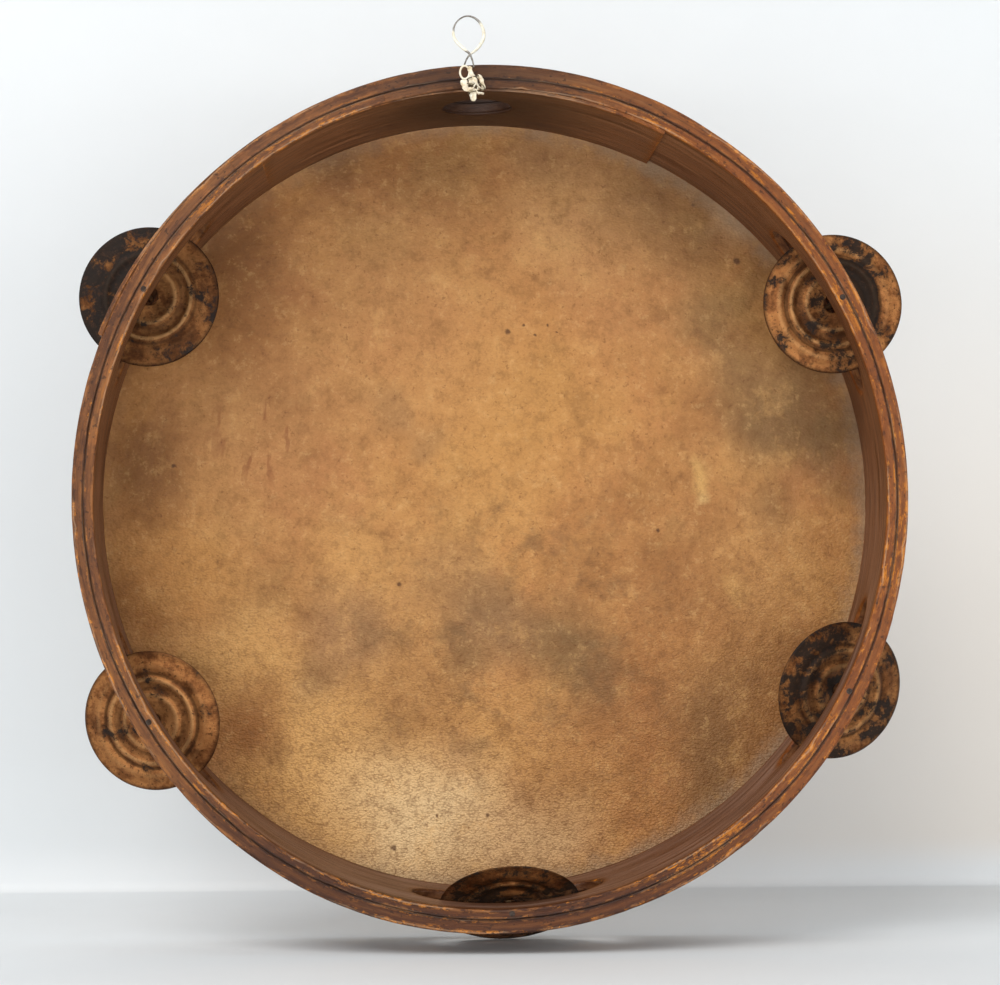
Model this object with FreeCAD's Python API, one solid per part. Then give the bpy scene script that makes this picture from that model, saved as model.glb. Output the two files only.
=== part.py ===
import FreeCAD, Part
import math
import os
from collections import namedtuple

from FreeCAD import Vector

# A hand tambourine: a hoop bent from wood strip in two layers, a skin head, five
# slots that each hold a pair of cupped brass discs on a nail, a thumb hole at the
# top, and a wire hanging loop.
#
# Millimetres and degrees. The drum stands on edge: its axis is Y, the open side
# faces -Y, the head faces +Y and Z is up. The origin is the centre of the head's
# outer face. Angles run round the Y axis from +X towards +Z.

# Hoop: an oval at the open edge that becomes round where the head is stretched.
HOOP_DEPTH = 50.0
OPEN_INNER_RADIUS = 122.2
OPEN_INNER_OVAL = 2.0
OPEN_OUTER_RADIUS = 129.2
OPEN_OUTER_OVAL = 2.5
HEAD_INNER_RADIUS = 122.3
HEAD_OUTER_RADIUS = 128.9
INNER_PLY = 3.1

# The ends of the wood strip: one inside the hoop and one outside it.
INNER_END_ANGLE = 64.5
INNER_END_STEP = 1.2
INNER_END_TAPER = 60.0
OUTER_END_ANGLE = 157.5
OUTER_END_STEP = 1.4
OUTER_END_TAPER = 36.0
OUTLINE_POINTS = 48

# Head: a skin stretched over the hoop's back edge and down its outer wall.
SKIN = 0.6
SKIRT = 15.0
HEAD_TACKS = 20
HEAD_TACK_DEPTH = 8.0

# Slots, each centred on its jingles' nail. The y positions are on the hoop's wall.
SLOT_LENGTH = 60.0
SLOT_WIDTH = 20.0
SLOT_Y = -26.6
THUMB_HOLE_RADIUS = 11.0
THUMB_HOLE_ANGLE = 91.7
THUMB_HOLE_Y = -28.1

# Jingles: pressed brass cups in pairs, hollow sides facing each other.
DISC_RADIUS = 21.8
DISC_HOLE_RADIUS = 2.9
DISC_SHEET = 0.5
RIM_GAP = 0.8
HOLE_RISE = 0.5
# Radius and height above the rim of the middle of the brass sheet.
DISC_PROFILE = [
    (DISC_HOLE_RADIUS, HOLE_RISE),
    (5.0, 0.85),
    (8.5, 1.6),
    (10.2, 0.9),
    (11.8, 0.9),
    (13.2, 1.3),
    (14.8, 0.7),
    (18.5, 0.3),
    (DISC_RADIUS, 0.0),
]

# Nails, in the middle of the inner ply, driven in from the open edge.
NAIL_RADIUS = 0.9
NAIL_END_Y = -9.0

# Each pair of jingles at rest: its angle round the hoop, how deep its nail lies in
# the inner ply, how far its inner half leans towards the open side, how far it has
# slid along the nail, and how far it hangs outward by its loose holes.
Pair = namedtuple("Pair", "angle nail_inset lean slid hang")
JINGLES = {
    "upper_right": Pair(29.6, 1.9, 0.0, 0.0, 0.4),
    "upper_left": Pair(149.1, 1.4, 4.5, 0.0, 0.0),
    "lower_left": Pair(213.1, 2.1, 17.0, 0.0, 0.8),
    "bottom": Pair(272.5, 1.4, 54.0, -2.8, 0.0),
    "lower_right": Pair(331.3, 2.1, 24.5, 0.0, 0.8),
}

# Brads that hold the strip's ends down: angle and y.
BRADS = [(155.0, -43.0), (120.0, -43.0), (120.0, -23.0), (67.0, -43.0), (67.0, -23.0)]
BRAD_LENGTH = 5.0
BRAD_RADIUS = 0.6

# The hanger: a stiff wire from a tack near the open edge, round in a small loop
# above the hoop and down in front of the open edge to a knot.
TACK_ANGLE = 93.5
TACK_Y = -45.5
WIRE_DIAMETER = 1.2
WIRE_ROUTE = [
    (-8.1, -45.5, 132.2),
    (-7.4, -46.2, 135.0),
    (-4.0, -46.9, 137.0),
    (-1.6, -47.6, 141.0),
    (-3.4, -48.2, 145.8),
    (-7.6, -48.8, 147.4),
    (-11.4, -49.4, 144.4),
    (-11.6, -50.2, 139.6),
    (-8.6, -51.4, 136.4),
    (-6.0, -53.2, 134.0),
    (-5.4, -54.0, 130.2),
]
KNOT_CENTRE = Vector(-5.6, -54.0, 125.1)
KNOT_RADII = (4.1, 2.2, 5.6)

OPEN_Y = -SKIN - HOOP_DEPTH
AXIS = Vector(0, 1, 0)


def outward(angle):
    return Vector(math.cos(math.radians(angle)), 0, math.sin(math.radians(angle)))


def along_rim(angle):
    return Vector(-math.sin(math.radians(angle)), 0, math.cos(math.radians(angle)))


def fade(start, angle, length):
    """1 at the start angle, falling smoothly to 0 at the end of the length."""
    share = ((angle - start) % 360.0) / length
    return 0.0 if share >= 1.0 else 0.5 + 0.5 * math.cos(math.pi * share)


def between(head, mean, oval, angle, y):
    """A radius that runs straight from the round head end to the oval open edge."""
    share = (-SKIN - y) / HOOP_DEPTH
    open_radius = mean - oval * math.cos(2 * math.radians(angle))
    return head + (open_radius - head) * share


def plain_inner(angle, y):
    return between(HEAD_INNER_RADIUS, OPEN_INNER_RADIUS, OPEN_INNER_OVAL, angle, y)


def inner_wall(angle, y):
    return plain_inner(angle, y) - INNER_END_STEP * fade(INNER_END_ANGLE, angle, INNER_END_TAPER)


def glue_line(angle, y):
    return plain_inner(angle, y) + INNER_PLY


def outer_wall(angle, y):
    lap = fade(-OUTER_END_ANGLE, -angle, OUTER_END_TAPER)
    plain = between(HEAD_OUTER_RADIUS, OPEN_OUTER_RADIUS, OPEN_OUTER_OVAL, angle, y)
    return plain + OUTER_END_STEP * lap


def outline(radius, start, y, grow):
    """A closed outline round the Y axis, with a short radial step at the start angle."""
    sweep = 360.0 - 1e-6
    angles = [start + 1e-7 + sweep * i / OUTLINE_POINTS for i in range(OUTLINE_POINTS + 1)]
    points = [outward(a) * (radius(a, y) + grow) + AXIS * y for a in angles]
    curve = Part.BSplineCurve()
    curve.interpolate(points)
    step = Part.LineSegment(points[-1], points[0])
    return Part.Wire([curve.toShape(), step.toShape()])


def smooth_outline(radius, y):
    """A closed outline round the Y axis with no step."""
    angles = [360.0 * i / OUTLINE_POINTS for i in range(OUTLINE_POINTS)]
    curve = Part.BSplineCurve()
    curve.interpolate([outward(a) * radius(a, y) + AXIS * y for a in angles], PeriodicFlag=True)
    return Part.Wire(curve.toShape())


def filled(low, high):
    return Part.makeLoft([low, high], True, True)


def stepped_solid(radius, start, y_low, y_high, grow=0.0):
    return filled(outline(radius, start, y_low, grow), outline(radius, start, y_high, grow))


def place(shape, origin, x, y, z):
    """The shape moved from the usual axes to an origin and three directions."""
    matrix = FreeCAD.Matrix(
        x.x, y.x, z.x, origin.x, x.y, y.y, z.y, origin.y, x.z, y.z, z.z, origin.z, 0, 0, 0, 1
    )
    moved = shape.copy()
    moved.Placement = FreeCAD.Placement(matrix)
    return moved


def on_wall(shape, angle, radius, y):
    """The shape with its own Z pointing out of the hoop at that angle."""
    origin = outward(angle) * radius + AXIS * y
    return place(shape, origin, AXIS, along_rim(angle), outward(angle))


def slot_cutter(angle):
    """A round-ended bar through the wall, its length along the rim."""
    half = SLOT_WIDTH / 2
    straight = SLOT_LENGTH / 2 - half
    bar = Part.makeBox(SLOT_WIDTH, 2 * straight, 40, Vector(-half, -straight, 0))
    for end in (-straight, straight):
        bar = bar.fuse(Part.makeCylinder(half, 40, Vector(0, end, 0)))
    return on_wall(bar.removeSplitter(), angle, 105, SLOT_Y)


def thumb_hole_cutter():
    hole = Part.makeCylinder(THUMB_HOLE_RADIUS, 40)
    return on_wall(hole, THUMB_HOLE_ANGLE, 105, THUMB_HOLE_Y)


def tack(head_radius, head_height, shank_radius, shank_length):
    """A domed tack: the underside of its head is at z = 0."""
    ball = (head_radius**2 + head_height**2) / (2 * head_height)
    dome = Part.makeSphere(ball, Vector(0, 0, head_height - ball))
    block = Part.makeBox(4 * ball, 4 * ball, 2 * head_height, Vector(-2 * ball, -2 * ball, 0))
    shank = Part.makeCylinder(shank_radius, shank_length, Vector(0, 0, -shank_length))
    return dome.common(block).fuse(shank).removeSplitter()


def nail_point(pair, y):
    return outward(pair.angle) * (plain_inner(pair.angle, y) + pair.nail_inset) + AXIS * y


def nail_direction(pair):
    return (nail_point(pair, 0) - nail_point(pair, OPEN_Y)).normalize()


def nail(pair):
    start = nail_point(pair, OPEN_Y)
    length = (nail_point(pair, NAIL_END_Y) - start).Length
    return Part.makeCylinder(NAIL_RADIUS, length, start, nail_direction(pair))


def cup():
    """One jingle on the Z axis, rim at z = 0 and hollow side down."""
    faces = []
    for side in (-DISC_SHEET / 2, DISC_SHEET / 2):
        curve = Part.BSplineCurve()
        curve.interpolate([Vector(r, 0, h + side) for r, h in DISC_PROFILE])
        faces.append(curve)
    low, high = faces
    rim = Part.LineSegment(low.EndPoint, high.EndPoint)
    hole = Part.LineSegment(low.StartPoint, high.StartPoint)
    wire = Part.Wire(Part.__sortEdges__([c.toShape() for c in (low, rim, high, hole)]))
    return Part.Face(wire).revolve(Vector(0, 0, 0), Vector(0, 0, 1), 360)


def jingle(pair, side):
    """A cup of a pair, its hole round the nail; side is -1 in front and 1 behind."""
    tilt = math.radians(pair.lean)
    radial = outward(pair.angle) * math.cos(tilt) + AXIS * math.sin(tilt)
    normal = (AXIS * math.cos(tilt) - outward(pair.angle) * math.sin(tilt)) * side
    half_pair = RIM_GAP / 2 + DISC_SHEET / 2 + HOLE_RISE
    centre = nail_point(pair, SLOT_Y + pair.slid) + radial * pair.hang
    hole = centre + nail_direction(pair) * (side * half_pair / math.cos(tilt))
    origin = hole - normal * HOLE_RISE
    return place(cup(), origin, radial, normal.cross(radial), normal)


def wire_path(points):
    """Straight runs joined by arcs, each as large as its two runs allow."""
    edges = []
    at = points[0]
    for before, corner, after in zip(points, points[1:], points[2:]):
        back, ahead = before - corner, after - corner
        trim = 0.45 * min(back.Length, ahead.Length)
        turn = math.pi - back.getAngle(ahead)
        radius = trim / math.tan(turn / 2)
        back.normalize()
        ahead.normalize()
        start, end = corner + back * trim, corner + ahead * trim
        middle = (back + ahead).normalize()
        top = corner + middle * (radius / math.cos(turn / 2) - radius)
        edges.append(Part.LineSegment(at, start).toShape())
        edges.append(Part.Arc(start, top, end).toShape())
        print(f"wire bend radius {radius:.1f} mm, turn {math.degrees(turn):.0f} degrees")
        at = end
    edges.append(Part.LineSegment(at, points[-1]).toShape())
    return Part.Wire(edges)


def hanging_wire():
    points = [Vector(*p) for p in WIRE_ROUTE]
    path = wire_path(points)
    ring = Part.makeCircle(WIRE_DIAMETER / 2, points[0], points[1] - points[0])
    tube = path.makePipeShell([Part.Wire(ring)], True, False)
    section = math.pi * (WIRE_DIAMETER / 2) ** 2
    print(f"wire length {path.Length:.1f} mm, volume ratio {tube.Volume / (section * path.Length):.4f}")
    return tube


def knot():
    ball = Part.makeSphere(1.0)
    stretch = FreeCAD.Matrix()
    stretch.scale(*KNOT_RADII)
    return ball.transformGeometry(stretch).translated(KNOT_CENTRE)


def head_tack_set():
    one = tack(2.6, 1.2, 0.8, 3.2)
    y = -HEAD_TACK_DEPTH
    angles = [360.0 * (i + 0.5) / HEAD_TACKS for i in range(HEAD_TACKS)]
    return [on_wall(one, a, outer_wall(a, y) + SKIN, y) for a in angles]


def lap_brad_set():
    one = tack(1.3, 0.5, BRAD_RADIUS, BRAD_LENGTH)
    return [on_wall(one, angle, outer_wall(angle, y), y) for angle, y in BRADS]


def build():
    """Every node of the tambourine by name."""
    whole = stepped_solid(outer_wall, OUTER_END_ANGLE, OPEN_Y, -SKIN)
    inside = stepped_solid(inner_wall, INNER_END_ANGLE, OPEN_Y, -SKIN)
    core = filled(smooth_outline(glue_line, OPEN_Y), smooth_outline(glue_line, -SKIN))
    over = stepped_solid(outer_wall, OUTER_END_ANGLE, -SKIRT, 0, SKIN)

    head_tacks = head_tack_set()
    brads = lap_brad_set()
    hanging_tack = on_wall(
        tack(2.2, 1.2, 0.8, 3.0), TACK_ANGLE, outer_wall(TACK_ANGLE, TACK_Y), TACK_Y
    )
    nails = {name: nail(pair) for name, pair in JINGLES.items()}
    openings = [slot_cutter(pair.angle) for pair in JINGLES.values()]
    openings.append(thumb_hole_cutter())

    nodes = {
        "inner_ply": core.cut(inside).cut(openings + brads + list(nails.values())),
        "outer_ply": whole.cut(core).cut(openings + brads + head_tacks + [hanging_tack]),
        "drumhead": over.cut(whole).cut(head_tacks),
        "head_tacks": Part.makeCompound(head_tacks),
        "lap_brads": Part.makeCompound(brads),
        "hanging_tack": hanging_tack,
        "hanging_wire": hanging_wire(),
        "hanging_knot": knot(),
    }
    for name, pair in JINGLES.items():
        nodes["pin_" + name] = nails[name]
        nodes["jingle_front_" + name] = jingle(pair, -1)
        nodes["jingle_back_" + name] = jingle(pair, 1)
    return nodes


os.makedirs("parts", exist_ok=True)
for node, shape in build().items():
    shape.exportStep("parts/" + node + ".step")
    print(f"{node}: {len(shape.Solids)} solid(s), {shape.Volume / 1000:.2f} cm3, valid {shape.isValid()}")
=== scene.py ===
import math

import bmesh
import bpy
import numpy as np
from mathutils import Matrix, Vector, noise
from mathutils.geometry import delaunay_2d_cdt


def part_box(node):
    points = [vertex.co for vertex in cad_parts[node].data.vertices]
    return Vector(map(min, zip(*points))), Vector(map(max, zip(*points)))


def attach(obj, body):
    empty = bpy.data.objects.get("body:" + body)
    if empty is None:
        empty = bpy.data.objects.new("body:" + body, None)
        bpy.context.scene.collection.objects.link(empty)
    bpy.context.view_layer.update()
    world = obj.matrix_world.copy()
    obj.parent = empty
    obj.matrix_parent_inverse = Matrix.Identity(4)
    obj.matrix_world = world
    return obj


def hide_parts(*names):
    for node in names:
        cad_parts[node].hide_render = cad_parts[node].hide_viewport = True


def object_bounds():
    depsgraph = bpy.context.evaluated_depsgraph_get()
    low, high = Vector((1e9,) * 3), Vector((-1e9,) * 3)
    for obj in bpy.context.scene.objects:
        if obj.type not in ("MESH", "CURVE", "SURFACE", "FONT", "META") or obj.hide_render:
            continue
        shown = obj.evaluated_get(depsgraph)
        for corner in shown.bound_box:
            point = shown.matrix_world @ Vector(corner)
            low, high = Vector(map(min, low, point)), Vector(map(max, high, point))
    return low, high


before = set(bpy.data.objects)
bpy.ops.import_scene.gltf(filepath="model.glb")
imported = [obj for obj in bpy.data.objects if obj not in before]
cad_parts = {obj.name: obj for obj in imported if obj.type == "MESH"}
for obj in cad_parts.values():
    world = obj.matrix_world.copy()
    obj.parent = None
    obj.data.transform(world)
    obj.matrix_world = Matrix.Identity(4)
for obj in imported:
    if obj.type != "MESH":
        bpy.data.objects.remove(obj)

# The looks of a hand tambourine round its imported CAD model: two bent wood plies with
# worn edges, a stained skin, tarnished brass jingles, nails, tacks and a wire hanger.
#
# Shapes are worked out in millimetres and degrees and turned to metres when a mesh is
# made. The drum's axis is Y, its open side faces -Y, and angles run from +X towards +Z.

CAD_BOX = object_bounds()
MM = 0.001

# The camera: its place, the way it looks and its lens.
CAMERA_PLACE = Vector((-0.0325, -0.8722, -0.0310))
CAMERA_YAW = 2.42
CAMERA_PITCH = 2.25
CAMERA_ROLL = -0.19
CAMERA_LENS = 97.94

# The backdrop: how far behind the drum its wall stands, the bend at the wall's foot, and
# how far the table and the wall reach.
WALL_Y = 0.140
WALL_BEND = 0.004
BEND_STEPS = 12
STAGE_REACH = 8.0

# Each light: its name, place, target, size, power and colour. Then the world's own.
LIGHTS = [
    ("key", (-0.9, -1.5, 1.6), (0, 0, 0), (1.6, 1.2), 32, (1, 0.985, 0.96)),
    ("fill", (1.4, -1.6, 0.3), (0, 0, 0), (1.2, 1.2), 5, (1, 0.93, 0.85)),
    ("under", (0.0, -1.2, -0.05), (0, 0, -0.05), (1.6, 0.1), 4.5, (1, 1, 1)),
]
WORLD_COLOUR = (0.93, 0.97, 1.0, 1)
WORLD_STRENGTH = 0.52

# The hoop: an oval at the open edge that becomes round at the head.
HEAD_Y = -0.6
OPEN_Y = -50.6
OPEN_INNER_RADIUS = 122.2
OPEN_INNER_OVAL = 2.0
OPEN_OUTER_RADIUS = 129.2
OPEN_OUTER_OVAL = 2.5
HEAD_INNER_RADIUS = 122.3
HEAD_OUTER_RADIUS = 128.9
INNER_PLY = 3.1
INNER_END_ANGLE = 64.5
INNER_END_STEP = 1.2
INNER_END_TAPER = 60.0
OUTER_END_ANGLE = 157.5
OUTER_END_STEP = 1.4
OUTER_END_TAPER = 36.0
INNER_JOIN_ANGLE = 105.0
OUTER_JOIN_ANGLE = -232.0
LAP_SINK = 0.05
STRIP_RADIUS = 125.0

# The plies' edges: rows of points through the thickness, how far in the wear reaches, how
# much farther off a hole's edge counts, and the distance stored on walls with no wear.
WALL_SHARES = (0.06, 0.3, 0.5, 0.7, 0.94)
WEAR_REACH = 6.0
HOLE_EDGE_SHIFT = 0.55
UNWORN = 3.0

# What is cut through the hoop.
SLOT_HALF_RUN = 20.0
SLOT_HALF_WIDTH = 10.0
SLOT_Y = -26.6
THUMB_HOLE_RADIUS = 11.0
THUMB_HOLE_ANGLE = 91.7
THUMB_HOLE_Y = -28.1
PLACES = ["upper_right", "upper_left", "lower_left", "bottom", "lower_right"]

# The skin: its thickness, its skirt down the hoop's side, the radius of its bend, its gap
# to the hoop, and how far its inside keeps from the hoop's corner. Then its mesh.
SKIN = 0.6
SKIRT = 15.0
SKIN_BEND = 1.2
SKIN_GAP = 0.03
SKIN_CORNER = 0.3
SKIRT_ROWS = 7
SKIN_SIDES = 360
SKIN_RADII = [3.09 * i for i in range(1, 40)] + [122.5, 124.5, 126.0, 127.5]

# A jingle: its sheet's thickness, its mesh, and the radius and height above the rim of
# the middle of its sheet.
DISC_SHEET = 0.5
DISC_SIDES = 128
DISC_STEPS = 44
DISC_PROFILE = [
    (2.9, 0.5), (5.0, 0.85), (8.5, 1.6), (10.2, 0.9), (11.8, 0.9), (13.2, 1.3), (14.8, 0.7),
    (18.5, 0.3), (21.8, 0.0),
]

# The hanging wire's route, its thickness along it, and its thickness and length in metres.
# Then the ribbons of its coating and the thin binding wire.
WIRE_ROUTE = [
    (-8.1, -45.5, 132.2), (-7.4, -46.2, 135.0), (-4.0, -46.9, 137.0), (-1.6, -47.6, 141.0),
    (-3.4, -48.2, 145.8), (-7.6, -48.8, 147.4), (-11.4, -49.4, 144.4), (-11.6, -50.2, 139.6),
    (-8.6, -51.4, 136.4), (-6.0, -53.2, 134.0), (-5.4, -54.0, 130.2),
]
WIRE_COAT = [0.54, 0.54, 1.10, 1.26, 0.92, 0.54, 0.54, 1.04, 1.20, 0.60, 0.54]
WIRE_DIAMETER = 0.0009
RIBBON_THICKNESS = 0.32
THIN_WIRE = 0.0002
RIBBON_STEPS = 28
RIBBON_SECTION = 8

# From the knot's middle: each ribbon's points, twist and width, the binding wire's turns
# (height, reach and lean), their depth and its hook, and a loose ring of plastic.
RIBBONS = [
    ([(-1.3, -0.4, 5.3), (-1.0, -0.8, 4.2), (-0.4, -1.1, 2.8), (0.3, -1.2, 1.6)], 30, 1.5),
    ([(1.3, -0.6, 2.6), (2.1, -0.9, 1.6), (2.8, -1.0, -0.2), (3.1, -0.9, -1.8)], 40, 1.5),
    ([(-3.0, -0.4, 1.2), (-2.6, -0.9, -0.2), (-2.2, -1.1, -1.6), (-1.0, -1.2, -2.6)], -70, 2.3),
    ([(-1.5, -0.7, 1.7), (-0.2, -1.3, 1.2), (1.2, -1.4, -0.4), (2.5, -1.1, -1.9)], 110, 2.2),
    ([(-1.6, -0.8, -1.6), (0.0, -1.4, -1.9), (1.4, -1.3, -3.0), (3.2, -0.8, -3.1)], 60, 1.3),
    ([(-0.6, -0.7, -1.8), (-0.2, -1.0, -3.0), (0.0, -1.0, -4.3), (-0.1, -0.7, -5.4)], 50, 2.1),
    ([(-1.3, -0.9, 0.6), (0.2, -1.6, 0.1), (1.5, -1.5, -0.9), (1.0, -1.2, -2.4)], 150, 1.9),
    ([(-0.5, -1.1, 1.4), (0.7, -1.7, 0.5), (0.3, -1.7, -1.0), (-1.0, -1.2, -1.8)], -120, 1.6),
]
BINDING_TURNS = [(1.9, 1.9, 0.5), (-0.6, 2.1, -0.6), (-2.6, 1.8, 0.4)]
BINDING_DEPTH = 1.55
BINDING_HOOK = [
    (1.6, -1.4, -0.2), (2.8, -1.6, -0.6), (3.4, -1.5, -1.6), (2.9, -1.4, -2.4), (2.3, -1.3, -1.9),
]
RING_PLACE = (-2.6, -0.3, 3.4)
RING_SIZE = (1.5, 2.1)

# The main colours of each material, from 0 to 255, dark to light.
WOOD_TONES = [(72, 42, 24), (106, 66, 37), (126, 80, 45), (142, 95, 55)]
HIDE_TONES = [(148, 99, 56), (172, 119, 70), (188, 136, 80)]
BRASS_TONES = [(88, 55, 33), (127, 81, 48), (160, 108, 65), (143, 93, 55)]
NAIL_TONES = [(42, 31, 24), (58, 48, 42), (78, 69, 64)]
TACK_TONES = [(58, 42, 30), (124, 92, 54), (168, 130, 78)]
BINDING_TONES = [(74, 66, 50), (112, 102, 80), (146, 138, 116)]

# The middle of the thumb hole. Painted shade darkens the wood round it, for the hanger's shadow on
# the wall and the dark inside of the hole.
THUMB_HOLE_SHADE = (
    MM * STRIP_RADIUS * math.cos(math.radians(THUMB_HOLE_ANGLE)),
    MM * THUMB_HOLE_Y,
    MM * STRIP_RADIUS * math.sin(math.radians(THUMB_HOLE_ANGLE)),
)


# ---------------------------------------------------------------- materials
#
# Noise scales are per metre. A mask goes from 0 at its first number to 1 at its second.


def linear(red, green, blue):
    """An sRGB colour from 0 to 255 as the shader takes it."""
    return tuple((c / 255) ** 2.2 for c in (red, green, blue)) + (1.0,)


def toned(colours, share):
    return [tuple(c * share for c in rgb) for rgb in colours]


SCALAR_OPERATIONS = ("LENGTH", "DISTANCE", "DOT_PRODUCT")


class Graph:
    """A material's node tree, with a short call for each kind of node in use."""

    def __init__(self, name, roughness=0.6, metallic=0.0, specular=0.5):
        self.material = bpy.data.materials.new(name)
        self.material.use_nodes = True
        self.tree = self.material.node_tree
        self.shader = self.tree.nodes["Principled BSDF"]
        self.shader.inputs["Roughness"].default_value = roughness
        self.shader.inputs["Metallic"].default_value = metallic
        self.shader.inputs["Specular IOR Level"].default_value = specular
        self.colour = None

    def put(self, value, socket):
        if isinstance(value, bpy.types.NodeSocket):
            self.tree.links.new(value, socket)
        else:
            socket.default_value = value

    def node(self, kind, inputs, **settings):
        made = self.tree.nodes.new(kind)
        for key, value in settings.items():
            setattr(made, key, value)
        for key, value in inputs.items():
            self.put(value, made.inputs[key])
        return made

    def position(self):
        return self.node("ShaderNodeTexCoord", {}).outputs["Object"]

    def attribute(self, name, output="Fac"):
        return self.node("ShaderNodeAttribute", {}, attribute_name=name).outputs[output]

    def scaled(self, vector, scale, shift=(0, 0, 0)):
        settings = {"Vector": vector, "Scale": scale, "Location": shift}
        return self.node("ShaderNodeMapping", settings).outputs["Vector"]

    def noise(self, vector, scale, detail=4.0, roughness=0.55):
        inputs = {"Vector": vector, "Scale": scale, "Detail": detail, "Roughness": roughness}
        return self.node("ShaderNodeTexNoise", inputs).outputs["Fac"]

    def grain(self, vector, scales, detail, roughness, shift=(0, 0, 0)):
        """Noise with a scale of its own along each axis."""
        return self.noise(self.scaled(vector, scales, shift), 1.0, detail, roughness)

    def warp(self, vector, scale, size):
        """The vector shifted about by noise of that scale and size."""
        inputs = {"Vector": vector, "Scale": scale, "Detail": 3.0}
        field = self.node("ShaderNodeTexNoise", inputs).outputs["Color"]
        centred = self.vector_math("SUBTRACT", field, (0.5, 0.5, 0.5))
        return self.vector_math("ADD", vector, self.vector_math("SCALE", centred, scale=size))

    def vector_math(self, operation, a, b=None, scale=None):
        made = self.node("ShaderNodeVectorMath", {0: a}, operation=operation)
        if b is not None:
            self.put(b, made.inputs[1])
        if scale is not None:
            self.put(scale, made.inputs["Scale"])
        return made.outputs["Value" if operation in SCALAR_OPERATIONS else "Vector"]

    def cells(self, vector, scale):
        """The distance to the nearest of many scattered points."""
        inputs = {"Vector": vector, "Scale": scale}
        return self.node("ShaderNodeTexVoronoi", inputs).outputs["Distance"]

    def math(self, operation, a, b=0.5):
        return self.node("ShaderNodeMath", {0: a, 1: b}, operation=operation).outputs[0]

    def times(self, a, b):
        return self.math("MULTIPLY", a, b)

    def plus(self, a, b):
        return self.math("ADD", a, b)

    def minus(self, a, b):
        return self.math("SUBTRACT", a, b)

    def distance(self, a, b):
        return self.vector_math("DISTANCE", a, b)

    def part(self, vector, axis):
        return self.node("ShaderNodeSeparateXYZ", {0: vector}).outputs[axis]

    def step(self, value, low, high):
        """0 below low and 1 above high, smoothly; the other way round if low is above high."""
        flip = low > high
        ends = {"From Min": min(low, high), "From Max": max(low, high)}
        ends.update({"To Min": float(flip), "To Max": float(not flip), "Value": value})
        made = self.node("ShaderNodeMapRange", ends, interpolation_type="SMOOTHSTEP")
        return made.outputs["Result"]

    def ramp(self, value, *colours):
        """Colours spread evenly from 0 to 1."""
        made = self.node("ShaderNodeValToRGB", {"Fac": value})
        stops = made.color_ramp.elements
        while len(stops) < len(colours):
            stops.new(0.5)
        for i, colour in enumerate(colours):
            stops[i].position = i / (len(colours) - 1)
            stops[i].color = linear(*colour)
        return made.outputs["Color"]

    def blend(self, mask, below, above):
        inputs = {0: mask, 6: below, 7: above}
        return self.node("ShaderNodeMix", inputs, data_type="RGBA").outputs[2]

    def lay(self, mask, strength, tint):
        """Lay a tint over the material's colour where the mask is."""
        mask = self.times(mask, strength)
        self.colour = self.blend(mask, self.colour, linear(*tint))

    def bump(self, height, distance, below=None):
        inputs = {"Height": height, "Distance": distance, "Strength": 1.0}
        if below is not None:
            inputs["Normal"] = below
        return self.node("ShaderNodeBump", inputs).outputs["Normal"]

    def finish(self, roughness=None, normal=None, metallic=None):
        keys = ("Base Color", "Roughness", "Normal", "Metallic")
        for key, value in zip(keys, (self.colour, roughness, normal, metallic)):
            if value is not None:
                self.put(value, self.shader.inputs[key])
        return self.material


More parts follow.
